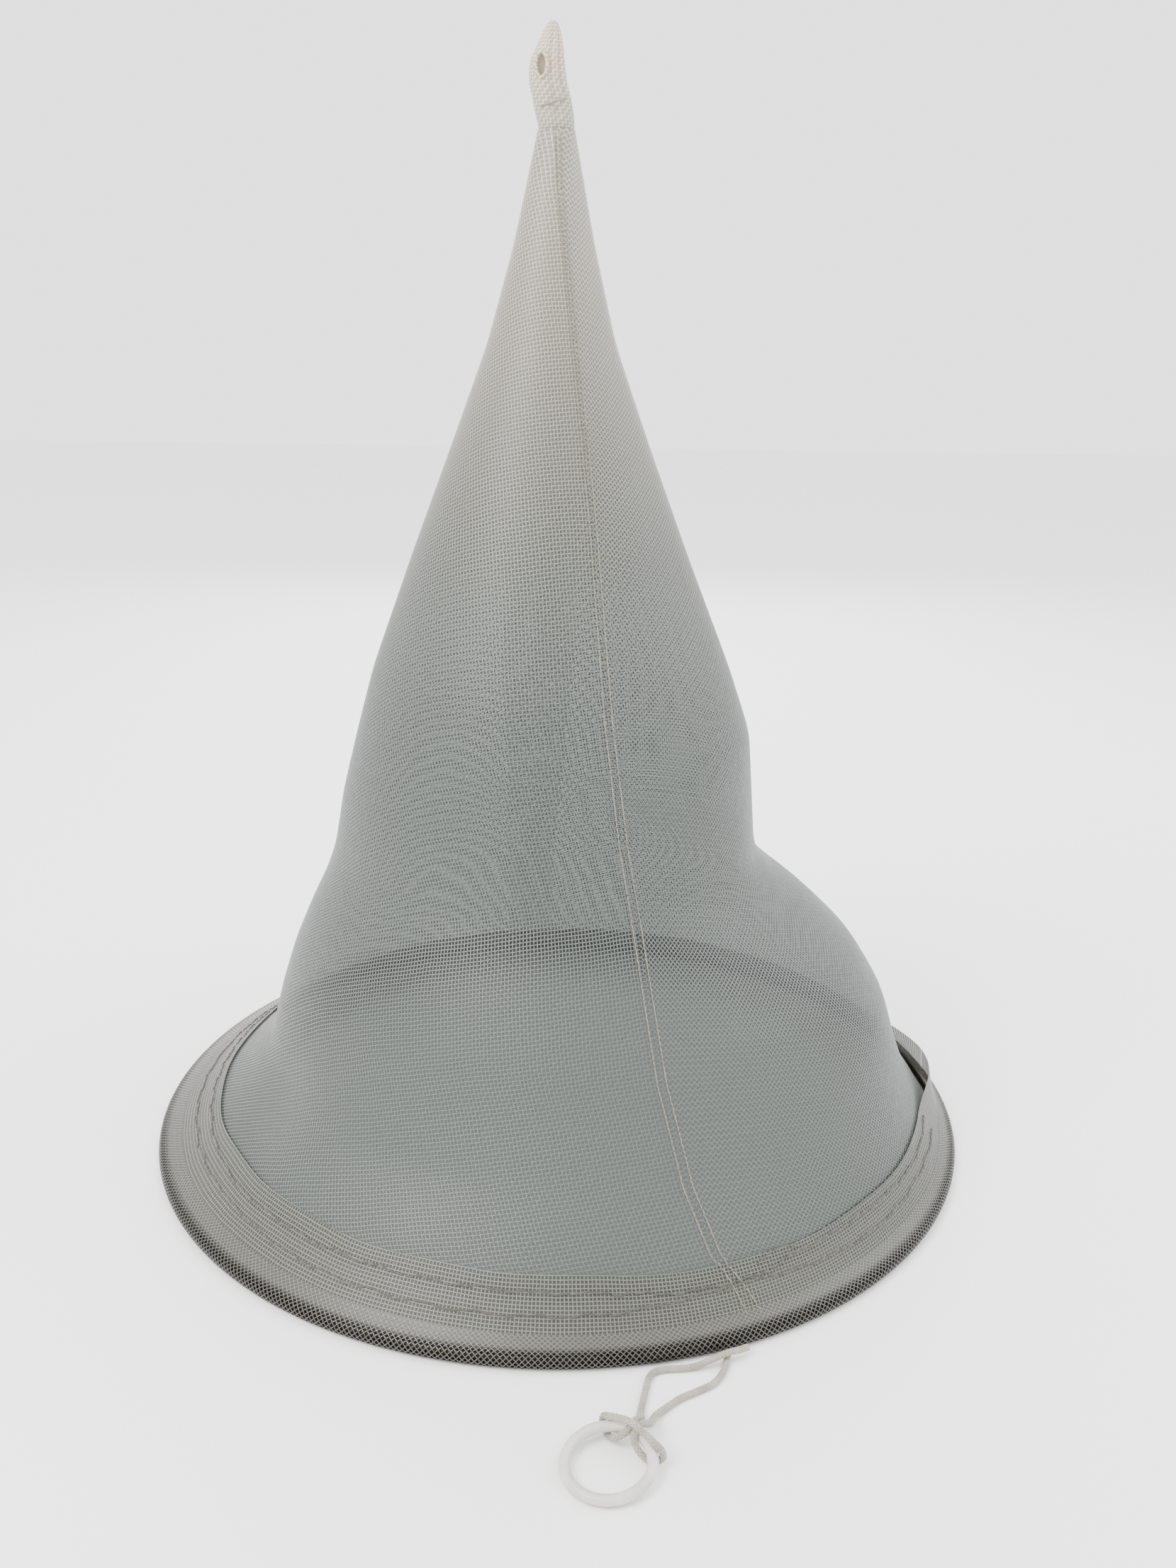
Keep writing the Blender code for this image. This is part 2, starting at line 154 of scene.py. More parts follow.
def runningLength(points):
    run = [0.0]
    for a, b in zip(points, points[1:]):
        run.append(run[-1] + (b - a).length)
    return run


def evenly(points, step):
    run = runningLength(points)
    count = max(2, round(run[-1] / step) + 1)
    out, i = [], 0
    for k in range(count):
        want = run[-1] * k / (count - 1)
        while i < len(run) - 2 and run[i + 1] < want:
            i += 1
        share = (want - run[i]) / max(run[i + 1] - run[i], 1e-12)
        out.append(points[i].lerp(points[i + 1], min(share, 1.0)))
    return out


def carriedFrames(points, closed=False):  # a side and a top at each point, turned as little as can be
    frames = []
    top = None
    count = len(points)
    for i in range(count):
        before = points[i - 1] if i or closed else points[0]
        after = points[(i + 1) % count] if i < count - 1 or closed else points[-1]
        along = (after - before).normalized()
        if top is None:
            top = Vector((0, 0, 1)) if abs(along.z) < 0.9 else Vector((1, 0, 0))
        side = along.cross(top).normalized()
        top = side.cross(along).normalized()
        frames.append((side, top))
    return frames


def tube(name, points, radius, sides, material, layerName, closed=False, caps=True):
    frames = carriedFrames(points, closed)
    ring, uv, run = [], [], 0.0
    rows = list(range(len(points))) + ([0] if closed else [])
    previous = points[0]
    for i in rows:
        run += (points[i] - previous).length
        previous = points[i]
        for k in range(sides + 1):
            angle = 2 * math.pi * k / sides
            side, top = frames[i]
            ring.append(points[i] + (side * math.cos(angle) + top * math.sin(angle)) * radius)
            uv.append((run, angle * radius))
    faces = gridFaces(len(rows), sides + 1)
    if caps and not closed:
        faces.append(tuple(range(sides)))
        faces.append(tuple(reversed([(len(rows) - 1) * (sides + 1) + k for k in range(sides)])))
    obj = meshObject(name, ring, faces, material)
    addUv(obj, layerName, uv)
    weld(obj)
    normalsOut(obj)
    return obj


def weld(obj):
    shape = bmesh.new()
    shape.from_mesh(obj.data)
    bmesh.ops.remove_doubles(shape, verts=shape.verts, dist=0.004 * mm)
    shape.to_mesh(obj.data)
    shape.free()


def joinInto(obj, others):  # for others that have obj's own material
    shape = bmesh.new()
    shape.from_mesh(obj.data)
    for other in others:
        shape.from_mesh(other.data)
        bpy.data.objects.remove(other)
    shape.to_mesh(obj.data)
    shape.free()
    obj.data.shade_smooth()


print("stage: camera and lights")


def aimCamera(s):
    cam = bpy.data.cameras.new("camera")
    cam.lens = s["lens"]
    cam.sensor_width = s["sensor"]
    cam.clip_start = s["near"]
    pitch, yaw, roll = (math.radians(s[k]) for k in ("pitch", "yaw", "roll"))
    forward = Vector((math.sin(yaw) * math.cos(pitch), math.cos(yaw) * math.cos(pitch), -math.sin(pitch)))
    level = Vector((math.cos(yaw), -math.sin(yaw), 0.0))
    up = level.cross(forward)
    right = level * math.cos(roll) + up * math.sin(roll)
    top = up * math.cos(roll) - level * math.sin(roll)
    obj = linkNew(bpy.data.objects.new("camera", cam))
    turn = Matrix((right, top, -forward)).transposed()
    obj.matrix_world = Matrix.Translation(s["place"]) @ turn.to_4x4()
    bpy.context.scene.camera = obj


def addLights():
    for name, s in lightSettings.items():
        lamp = bpy.data.lights.new(name, "AREA")
        lamp.size = s["size"]
        lamp.energy = s["watts"]
        lamp.color = s["colour"]
        obj = linkNew(bpy.data.objects.new(name, lamp))
        obj.location = s["place"]
        aim = Vector(lightAim) - Vector(s["place"])
        obj.rotation_euler = aim.to_track_quat("-Z", "Y").to_euler()


def addWorld(grey):
    world = bpy.data.worlds.new("studio")
    world.use_nodes = True
    world.node_tree.nodes["Background"].inputs["Color"].default_value = (grey, grey, grey, 1)
    bpy.context.scene.world = world


aimCamera(cameraSettings)
addLights()
addWorld(worldGrey)


class NodeTree:  # short calls for building a shader
    def __init__(self, material):
        self.tree = material.node_tree
        self.tree.nodes.clear()
        self.out = self.tree.nodes.new("ShaderNodeOutputMaterial")

    def node(self, kind, **values):
        made = self.tree.nodes.new("ShaderNode" + kind)
        for key, value in values.items():
            setattr(made, key, value)
        return made

    def link(self, source, target):
        self.tree.links.new(source, target)

    def put(self, value, target):
        if isinstance(value, (int, float)):
            target.default_value = value
        elif isinstance(value, tuple):
            target.default_value = (*value, 1.0)
        else:
            self.link(value, target)

    def math(self, operation, a, b=None, c=None):
        made = self.node("Math", operation=operation)
        for target, value in zip(made.inputs, (a, b, c)):
            if value is not None:
                self.put(value, target)
        return made.outputs[0]

    def ramp(self, value, low, high, toLow=0.0, toHigh=1.0):
        made = self.node("MapRange", interpolation_type="SMOOTHSTEP")
        self.link(value, made.inputs["Value"])
        for key, number in (("From Min", low), ("From Max", high), ("To Min", toLow), ("To Max", toHigh)):
            made.inputs[key].default_value = number
        return made.outputs["Result"]

    def noise(self, vector, scale, detail=2.0, roughness=0.5):
        made = self.node("TexNoise")
        self.link(vector, made.inputs["Vector"])
        made.inputs["Scale"].default_value = scale
        made.inputs["Detail"].default_value = detail
        made.inputs["Roughness"].default_value = roughness
        return made.outputs["Fac"]

    def mixColour(self, factor, a, b):
        made = self.node("Mix", data_type="RGBA")
        self.put(factor, made.inputs["Factor"])
        self.put(a, made.inputs[6])
        self.put(b, made.inputs[7])
        return made.outputs[2]

    def bump(self, height, strength, distance):
        made = self.node("Bump")
        made.inputs["Strength"].default_value = strength
        made.inputs["Distance"].default_value = distance
        self.link(height, made.inputs["Height"])
        return made.outputs["Normal"]

    def stretched(self, layerName, scale):
        made = self.node("Mapping")
        self.link(self.uv(layerName), made.inputs["Vector"])
        made.inputs["Scale"].default_value = scale
        return made.outputs[0]

    def uv(self, layerName):
        return self.node("UVMap", uv_map=layerName).outputs["UV"]

    def place(self):
        return self.node("TexCoord").outputs["Object"]


def newMaterial(name):
    material = bpy.data.materials.new(name)
    material.use_nodes = True
    return material, NodeTree(material)


# drift is yarns to one wave of the wandering, soft a yarn's edge, level and wave its over and under
weaveSettings = dict(drift=22, driftDetail=3.0, soft=(0.6, 1.4), level=0.58, wave=0.42)


def weavePattern(t, vector, s):  # how much yarn there is at a point, and how high it stands
    pitch, yarn = s["pitch"], s["yarn"]
    softLow, softHigh = weaveSettings["soft"]
    drift = t.node("TexNoise")
    t.link(vector, drift.inputs["Vector"])
    drift.inputs["Scale"].default_value = 1 / (pitch * weaveSettings["drift"])
    drift.inputs["Detail"].default_value = weaveSettings["driftDetail"]
    shifted = t.node("VectorMath", operation="MULTIPLY_ADD")
    t.link(drift.outputs["Color"], shifted.inputs[0])
    shifted.inputs[1].default_value = (s["wander"] * pitch,) * 3
    t.link(vector, shifted.inputs[2])
    scaled = t.node("VectorMath", operation="SCALE")
    t.link(shifted.outputs[0], scaled.inputs[0])
    scaled.inputs["Scale"].default_value = 1 / pitch
    split = t.node("SeparateXYZ")
    t.link(scaled.outputs[0], split.inputs[0])
    sides = []
    for along, across, sign in (("Y", "X", 1.0), ("X", "Y", -1.0)):
        distance = t.math("ABSOLUTE", t.math("SUBTRACT", t.math("FRACT", split.outputs[across]), 0.5))
        share = t.ramp(distance, yarn * softLow, yarn * softHigh, 1.0, 0.0)
        phase = t.math("ADD", split.outputs[along], t.math("FLOOR", split.outputs[across]))
        wave = t.math("COSINE", t.math("MULTIPLY", phase, math.pi))
        crown = t.math("MULTIPLY_ADD", wave, weaveSettings["wave"] * sign, weaveSettings["level"])
        sides.append((share, t.math("MULTIPLY", share, crown)))
    cover = t.math("MAXIMUM", sides[0][0], sides[1][0])
    height = t.math("MAXIMUM", sides[0][1], sides[1][1])
    return cover, height


# each cloth's yarn colour turns from its lower colour into its upper one, and the tint through the gaps
# likewise, as far as the share says; the gap tints are painted shade seen through the cloth, and the turn is
# partly the cloth's own cream and partly painted shade, darker lower down
# by "reach" it is measured along the cloth from the tip, by "run" up the cloth, by "place" by height
clothSettings = dict(
    # painted shade: the whitish cone cloth is coloured dark grey-green and its gaps tinted dark, for the
    # shaded inside seen through it; toward the tip it turns cream, partly the denser gathered cloth and
    # partly less of that painted shade
    cone=dict(pitch=1.2 * mm, yarn=0.16, wander=1.2, light=(0.092, 0.105, 0.097), shade=0.45,
              gapShadeTint=(0.39, 0.42, 0.40), creamAndLitColour=(0.46, 0.42, 0.345), upperGapShadeTint=(0.42, 0.41, 0.37),
              creamAndLitShare=(0.205, -0.026), by="reach", veil=0.20, edge=0.5, sheen=0.05, rough=0.33),
    lap=dict(pitch=1.2 * mm, yarn=0.12, wander=1.0, light=(0.80, 0.84, 0.80), shade=0.15,
             gapShadeTint=(0.88, 0.90, 0.88), creamAndLitColour=(0.90, 0.86, 0.76), upperGapShadeTint=(0.88, 0.86, 0.82),
             creamAndLitShare=(0.13, 0.36), by="run", veil=0.12, edge=0.4, sheen=0.05, rough=0.4),
    band=dict(pitch=1.2 * mm, yarn=0.16, wander=0.8, light=(0.125, 0.126, 0.108), shade=0.35,
              gapShadeTint=(0.56, 0.57, 0.53), creamAndLitColour=(0.125, 0.126, 0.108), upperGapShadeTint=(0.56, 0.57, 0.53),
              creamAndLitShare=(0.0, 0.1), by="place", veil=0.32, edge=0.5, sheen=0.05, rough=0.33),
    # painted shade: the cloth round the wire is coloured darker underneath, its gaps too, and lighter on
    # top, by height
    roll=dict(pitch=1.2 * mm, yarn=0.13, wander=0.4, light=(0.045, 0.042, 0.035), shade=0.3,
              gapShadeTint=(0.42, 0.41, 0.38), creamAndLitColour=(0.125, 0.124, 0.106), upperGapShadeTint=(0.56, 0.57, 0.53),
              creamAndLitShare=(0.0046, 0.0060), by="place", veil=0.02, edge=0.1, sheen=0.0, rough=0.2),
    tip=dict(pitch=1.0 * mm, yarn=0.2, wander=0.7, light=(0.50, 0.45, 0.37), shade=0.6,
             gapShadeTint=(0.60, 0.56, 0.50), creamAndLitColour=(0.80, 0.68, 0.50), upperGapShadeTint=(0.60, 0.56, 0.50),
             creamAndLitShare=(0.325, 0.349), by="place", veil=0.97, edge=0.3, sheen=0.2, rough=0.5))


clothFinish = dict(patch=14.0, patchDetail=3.0, fleck=2.5, ior=1.53, sheenRough=0.35, bump=0.6,
                   bumpDepth=0.2 * mm, blend=0.35, edgePower=2.2, creamAndLitVeil=0.5)


def howFarUp(t, cloth, by):  # for the cone and its lap it goes by the cloth's own layout
    if by == "reach":
        length = t.node("VectorMath", operation="LENGTH")
        t.link(cloth, length.inputs[0])
        return length.outputs["Value"]
    split = t.node("SeparateXYZ")
    t.link(cloth if by == "run" else t.place(), split.inputs[0])
    return split.outputs["Y" if by == "run" else "Z"]


def meshCloth(name, s):
    material, t = newMaterial(name)
    finish = clothFinish
    cloth = t.uv("cloth")
    cover, height = weavePattern(t, cloth, s)
    patches = t.noise(t.place(), finish["patch"], finish["patchDetail"])
    fine = t.noise(cloth, 1 / (s["pitch"] * finish["fleck"]), 1.0)
    # painted light and shade: the share of the upper colours, partly the cloth's own cream and partly
    # painted shade lower down
    creamAndLitShare = t.ramp(howFarUp(t, cloth, s["by"]), *s["creamAndLitShare"])
    # painted highlight and shade: the yarn is coloured lighter where it stands high at the crossings, for
    # the light they catch, and darker by the shade share where it dips; random patches take more of the
    # darker colour
    tone = t.math("MULTIPLY", t.math("MULTIPLY_ADD", fine, 0.5, 0.75), height)
    crown = t.mixColour(creamAndLitShare, s["light"], s["creamAndLitColour"])
    paintedShadeValley = t.mixColour(s["shade"], crown, (0.0, 0.0, 0.0))
    woven = t.mixColour(tone, paintedShadeValley, crown)
    worn = t.mixColour(t.ramp(patches, 0.35, 0.7, 0.0, 0.3), woven, paintedShadeValley)
    yarn = t.node("BsdfPrincipled")
    t.link(worn, yarn.inputs["Base Color"])
    t.link(t.math("MULTIPLY_ADD", fine, 0.2, s["rough"]), yarn.inputs["Roughness"])
    yarn.inputs["Sheen Weight"].default_value = s["sheen"]
    yarn.inputs["Sheen Roughness"].default_value = finish["sheenRough"]
    yarn.inputs["IOR"].default_value = finish["ior"]
    t.link(t.bump(height, finish["bump"], finish["bumpDepth"]), yarn.inputs["Normal"])
    # painted shade: the gaps are tinted, darkening what is seen through the cloth
    gap = t.node("BsdfTransparent")
    t.link(t.mixColour(creamAndLitShare, s["gapShadeTint"], s["upperGapShadeTint"]), gap.inputs["Color"])
    facing = t.node("LayerWeight")
    facing.inputs["Blend"].default_value = finish["blend"]
    thick = t.math("MULTIPLY", t.math("POWER", facing.outputs["Facing"], finish["edgePower"]), s["edge"])
    veil = t.math("MULTIPLY_ADD", creamAndLitShare, finish["creamAndLitVeil"], s["veil"])
    share = t.math("MINIMUM", t.math("ADD", t.math("MAXIMUM", cover, veil), thick), 1.0)
    mixed = t.node("MixShader")
    t.link(share, mixed.inputs["Fac"])
    t.link(gap.outputs[0], mixed.inputs[1])
    t.link(yarn.outputs[0], mixed.inputs[2])
    t.link(mixed.outputs[0], t.out.inputs["Surface"])
    return material


def principled(t, colour, roughness, bump=None, **values):
    shader = t.node("BsdfPrincipled")
    t.put(colour, shader.inputs["Base Color"])
    t.put(roughness, shader.inputs["Roughness"])
    if bump is not None:
        t.link(bump, shader.inputs["Normal"])
    for key, value in values.items():
        shader.inputs[key.replace("_", " ")].default_value = value
    t.link(shader.outputs[0], t.out.inputs["Surface"])


def drawnSteel(name):
    material, t = newMaterial(name)
    streak = t.noise(t.stretched("wire", (60.0, 2600.0, 1.0)), 1.0, 4.0, 0.6)
    cloud = t.noise(t.place(), 55.0, 4.0)
    tint = t.mixColour(streak, (0.025, 0.0225, 0.019), (0.085, 0.08, 0.068))
    dull = t.mixColour(t.ramp(cloud, 0.5, 0.72), tint, (0.03, 0.025, 0.019))
    principled(t, dull, t.math("MULTIPLY_ADD", streak, 0.22, 0.2), t.bump(streak, 0.25, 0.05 * mm),
               Metallic=1.0)
    return material


def spunThread(name, light, dark):
    material, t = newMaterial(name)
    fibre = t.noise(t.place(), 2200.0, 3.0, 0.7)
    age = t.noise(t.place(), 60.0, 2.0)
    tone = t.mixColour(t.ramp(fibre, 0.3, 0.7), dark, light)
    body = t.mixColour(t.ramp(age, 0.4, 0.7, 0.0, 0.35), tone, dark)
    principled(t, body, t.math("MULTIPLY_ADD", fibre, 0.2, 0.6), t.bump(fibre, 0.6, 0.12 * mm),
               Sheen_Weight=0.3)
    return material


def braidFilament(name):
    material, t = newMaterial(name)
    fibre = t.noise(t.stretched("strand", (250.0, 9000.0, 1.0)), 1.0, 3.0, 0.6)
    patch = t.noise(t.place(), 160.0, 3.0)
    tone = t.mixColour(t.ramp(fibre, 0.3, 0.7), (0.22, 0.197, 0.158), (0.44, 0.415, 0.355))
    body = t.mixColour(t.ramp(patch, 0.45, 0.75, 0.0, 0.4), tone, (0.18, 0.157, 0.122))
    principled(t, body, t.math("MULTIPLY_ADD", fibre, 0.25, 0.42), t.bump(fibre, 0.5, 0.06 * mm),
               Sheen_Weight=0.35)
    return material


def mouldedPlastic(name):
    material, t = newMaterial(name)
    cloud = t.noise(t.place(), 90.0, 3.0)
    scuff = t.noise(t.place(), 1400.0, 2.0, 0.7)
    tone = t.mixColour(t.ramp(cloud, 0.35, 0.7), (0.48, 0.465, 0.42), (0.58, 0.565, 0.525))
    principled(t, tone, t.ramp(scuff, 0.3, 0.75, 0.24, 0.42), t.bump(scuff, 0.12, 0.05 * mm),
               Subsurface_Weight=0.15, Subsurface_Radius=(1.0, 0.9, 0.7), Subsurface_Scale=0.8 * mm,
               IOR=1.49)
    return material


def paleFloor(name, s):
    material, t = newMaterial(name)
    speck = t.noise(t.place(), 3.0, 4.0)
    principled(t, t.mixColour(speck, s["colour"], s["speck"]), 0.6)
    return material


print("stage: materials")
coneCloth = meshCloth("nylon mesh", clothSettings["cone"])
lapCloth = meshCloth("overlapped nylon mesh", clothSettings["lap"])
bandCloth = meshCloth("doubled nylon mesh", clothSettings["band"])
rollCloth = meshCloth("nylon mesh over wire", clothSettings["roll"])
tipCloth = meshCloth("folded nylon mesh", clothSettings["tip"])
wireSteel = drawnSteel("drawn steel wire")
hemThread = spunThread("hem thread", (0.07, 0.061, 0.046), (0.033, 0.029, 0.022))
seamThread = spunThread("seam thread", (0.25, 0.22, 0.165), (0.12, 0.105, 0.077))
cordFibre = braidFilament("braided cord")
ringPlastic = mouldedPlastic("moulded plastic")

print("stage: floor")


def addFloor(s):
    half = s["size"] / 2
    corners = [(-half, -half, 0), (half, -half, 0), (half, half, 0), (-half, half, 0)]
    meshObject("floor", corners, [(0, 1, 2, 3)], paleFloor("pale floor", s))


addFloor(floorSettings)

print("stage: cord and ring")
ringSettings = dict(centre=(13.0, -174.0, 2.8065), middle=11.0, tube=1.5, towards=50.0, tilt=6.822,
                    around=128, sides=28, skin=0.04, parting=0.05, partingWide=0.12)
cordSettings = dict(diameter=2.0, strands=6, turn=7.4, strandWide=0.33, strandThick=0.2, wave=0.16, step=0.4,
                    sides=6, sideWide=0.25)

longLeg = [(52.6, -131.7, 2.2), (49.6, -134.0, 3.1), (46.4, -135.4, 3.35), (42.4, -137.0, 2.6),
           (38.0, -138.1, 1.4), (33.5, -138.7, 1.02), (29.6, -139.0, 1.02), (26.6, -139.9, 1.02),
           (24.9, -142.0, 1.02), (23.9, -145.6, 1.02), (22.6, -151.4, 1.02), (21.6, -156.6, 1.5),
           (21.2, -160.9, 2.9)]
shortLeg = [(46.9, -133.4, 1.02), (46.3, -136.3, 1.02), (44.8, -140.4, 1.02), (42.0, -144.4, 1.02),
            (37.6, -147.2, 1.02), (33.0, -149.8, 1.02), (28.8, -153.4, 1.1), (25.6, -157.2, 1.8),
            (23.2, -161.9, 2.9)]
# the hitch, a loose lark's head: degrees round the ring, distance from the ring's middle, height
hitchTurns = [(55.5, 15.2, 4.9), (54.5, 11.6, 6.75), (58, 8.6, 5.4), (72, 8.1, 3.5), (84, 9.4, 1.75),
              (91, 11.4, 1.3), (95, 13.4, 2.9), (94, 13.2, 5.0), (87, 11.3, 6.6), (72, 9.6, 7.9),
              (50, 8.9, 8.75), (28, 9.6, 7.9), (13, 11.3, 6.6), (6, 13.2, 5.0), (5, 13.4, 2.9),
              (9, 11.4, 1.3), (16, 9.4, 1.75), (28, 8.1, 3.5), (42, 8.6, 5.4), (45.5, 11.6, 6.75),
              (44.5, 15.2, 4.9)]


def cordRoute(s):
    centre = ringSettings["centre"]
    turns = []
    for azimuth, radius, height in hitchTurns:
        angle = math.radians(azimuth)
        turns.append((centre[0] + radius * math.cos(angle), centre[1] + radius * math.sin(angle), height))
    through = longLeg[:-1] + turns + shortLeg[-2::-1]
    return evenly([p * mm for p in catmull(through)], s["step"] * mm)


def braidCord(s, route):  # strands that cross over and under each other round the route
    frames = carriedFrames(route)
    run = runningLength(route)
    middle = s["diameter"] / 2 - s["strandThick"] - s["wave"]
    points, faces, uv = [], [], []
    sides = s["sides"]
    for way in (1, -1):
        for k in range(s["strands"]):
            first = len(points)
            for p, (side, top), length in zip(route, frames, run):
                turned = 2 * math.pi * length / (s["turn"] * mm)
                angle = 2 * math.pi * k / s["strands"] + way * turned
                out = side * math.cos(angle) + top * math.sin(angle)
                beside = top * math.cos(angle) - side * math.sin(angle)
                rise = middle + way * s["wave"] * math.cos(s["strands"] * turned)
                for j in range(sides):
                    corner = 2 * math.pi * j / sides
                    lift = rise + s["strandThick"] * math.sin(corner)
                    points.append(p + (out * lift + beside * s["strandWide"] * math.cos(corner)) * mm)
                    uv.append((length, j * s["sideWide"] * mm))
            for f in gridFaces(len(route), sides, closed=True):
                faces.append(tuple(first + v for v in f))
            last = first + (len(route) - 1) * sides
            faces.append(tuple(range(first, first + sides)))
            faces.append(tuple(reversed(range(last, last + sides))))
    obj = meshObject("braidedCord", points, faces, cordFibre)
    addUv(obj, "strand", uv)
    normalsOut(obj)
    return obj


def makePullRing(s):
    tilt = math.radians(s["tilt"])
    towards = math.radians(s["towards"])
    toward = Vector((math.cos(towards), math.sin(towards), 0))
    lean = Matrix.Rotation(tilt, 3, toward.cross(Vector((0, 0, 1))))
    around, sides = s["around"], s["sides"]
    points = []
    for i in range(around):
        angle = 2 * math.pi * i / around
        outward = Vector((math.cos(angle), math.sin(angle), 0))
        for j in range(sides):
            corner = 2 * math.pi * j / sides
            parting = s["parting"] * math.exp(-(math.sin(corner) / s["partingWide"]) ** 2)
            reach = s["tube"] - s["skin"] + parting
            spoke = outward * (s["middle"] + reach * math.cos(corner))
            spoke.z = reach * math.sin(corner)
            points.append((Vector(s["centre"]) + lean @ spoke) * mm)
    faces = gridFaces(around, sides, closed=True)
    for j in range(sides):
        k = (j + 1) % sides
        faces.append(((around - 1) * sides + j, (around - 1) * sides + k, k, j))
    obj = meshObject("pullRing", points, faces, ringPlastic)
    normalsOut(obj)
    return obj


pullRing = makePullRing(ringSettings)
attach(pullRing, ringBody)
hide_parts("pull_ring")

cordLine = cordRoute(cordSettings)
cord = braidCord(cordSettings, cordLine)
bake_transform(cord)
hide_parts("cord_long_leg", "cord_short_leg", "cord_hitch")

hoopLow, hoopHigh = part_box("wire_hoop")
hoopHeight = (hoopLow[2] + hoopHigh[2]) / 2
hoopSettings = dict(wire=2.0 * mm, roll=2.4 * mm, around=288, sides=20)
hoopRadius = (hoopHigh[0] - hoopLow[0]) / 2 - hoopSettings["wire"]

print("stage: cone wall read from the frame")
wallSettings = dict(columns=96, step=3.0 * mm, cloth=0.25 * mm, smooth=3, shift=0.31, jump=12 * mm,
                    foot=0.8 * mm, head=0.5 * mm)


def readWall(s):  # how far the cone's wall stands from the axis, in rows up it
    corners, sides = [], []
    for name in coneNodes:
        node = bpy.data.objects[name]
        first = len(corners)
        corners += [node.matrix_world @ v.co for v in node.data.vertices]
        sides += [tuple(first + v for v in p.vertices) for p in node.data.polygons]
    tree = BVHTree.FromPolygons(corners, sides)
    low = min(p.z for p in corners) + s["foot"]
    high = max(p.z for p in corners) - s["head"]
    count = int((high - low) / s["step"])
    rows = []
    for i in range(count + 1):
        z = low + (high - low) * i / count
        row = []
        for j in range(s["columns"]):
            angle = 2 * math.pi * (j + s["shift"]) / s["columns"]
            hit = tree.ray_cast(Vector((0, 0, z)), Vector((math.cos(angle), math.sin(angle), 0)))[0]
            if hit is None or (rows and abs(hit.xy.length - rows[-1][j]) > s["jump"]):
                row.append(rows[-1][j])
            else:
                row.append(hit.xy.length + s["cloth"])
        rows.append(row)
    for _ in range(s["smooth"]):
        rows = smoothed(rows)
    return rows, low, high


def smoothed(old, own=0.34, beside=0.17, upright=0.16):  # takes the facets out
    rows = []
    for i, row in enumerate(old):
        below, above = old[max(i - 1, 0)], old[min(i + 1, len(old) - 1)]
        level = [r1 + r2 for r1, r2 in zip(row[-1:] + row[:-1], row[1:] + row[:1])]
        steep = [r1 + r2 for r1, r2 in zip(below, above)]
        rows.append([own * r + beside * n + upright * m for r, n, m in zip(row, level, steep)])
    return [old[0]] + rows[1:-1] + [old[-1]]


wallRows, wallLow, wallHigh = readWall(wallSettings)


def wallRadius(azimuth, height):
    columns, count = len(wallRows[0]), len(wallRows) - 1
    k = (azimuth / (2 * math.pi)) % 1.0 * columns - wallSettings["shift"]
    j, s = math.floor(k) % columns, k - math.floor(k)
    h = (height - wallLow) / (wallHigh - wallLow) * count
    i = min(max(int(h), 0), count - 1)
    n = (j + 1) % columns
    low = wallRows[i][j] * (1 - s) + wallRows[i][n] * s
    high = wallRows[i + 1][j] * (1 - s) + wallRows[i + 1][n] * s
    return low + (high - low) * (h - i)


def wallPoint(azimuth, height, off=0.0):  # on the cone's wall, or that far off it outwards
    step = 2 * mm
    rise = (wallRadius(azimuth, height + step) - wallRadius(azimuth, height - step)) / (2 * step)
    size = math.hypot(1.0, rise)
    r, z = wallRadius(azimuth, height) + off / size, height - off * rise / size
    return Vector((r * math.cos(azimuth), r * math.sin(azimuth), z))


def wallOut(azimuth, height):
    return (wallPoint(azimuth, height, 1 * mm) - wallPoint(azimuth, height)).normalized()


# up the front seam: height, distance to the right of the axis
seamRun = [(6.0, 55.0), (12.0, 51.0), (20.0, 44.4), (36.0, 36.8), (62.0, 29.4), (90.0, 24.2),
           (123.0, 18.2), (160.0, 13.2), (210.0, 8.6), (262.0, 2.8), (309.0, -2.4), (326.0, -3.0)]


def seamAzimuth(height, beside=0.0):
    x = between(seamRun, height / mm) * mm + beside
    azimuth = -math.pi / 2
    for _ in range(8):
        azimuth = -math.acos(min(max(x / wallRadius(azimuth, height), -1.0), 1.0))
    return azimuth


print("stage: wire hoop and hem band")


def makeHoop(s):
    line = []
    for k in range(s["around"]):
        angle = 2 * math.pi * k / s["around"]
        line.append(Vector((hoopRadius * math.cos(angle), hoopRadius * math.sin(angle), hoopHeight)))
    return tube("wireHoop", line, s["wire"], s["sides"], wireSteel, "wire", closed=True)


wireHoop = makeHoop(hoopSettings)
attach(wireHoop, hemBody)
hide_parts("wire_hoop")

# the slit lies at the corner that stands up, and the band rises to it over reach and reachBehind degrees
bandSettings = dict(opening=(7.5, 7.6), reach=24.0, reachBehind=15.0, corner=(136.6 * mm, 14.0 * mm),
                    top=18.0 * mm, foot=6.9 * mm, off=0.75 * mm, columns=360, leafRows=8, wrapRows=18,
                    wander=0.5 * mm, tuck=0.94, bed=3.2, wrapFrom=62, wrapTurn=240, plain=200.0, bias=0.7071)


def clothArea(obj):
    return sum(p.area for p in obj.data.polygons)


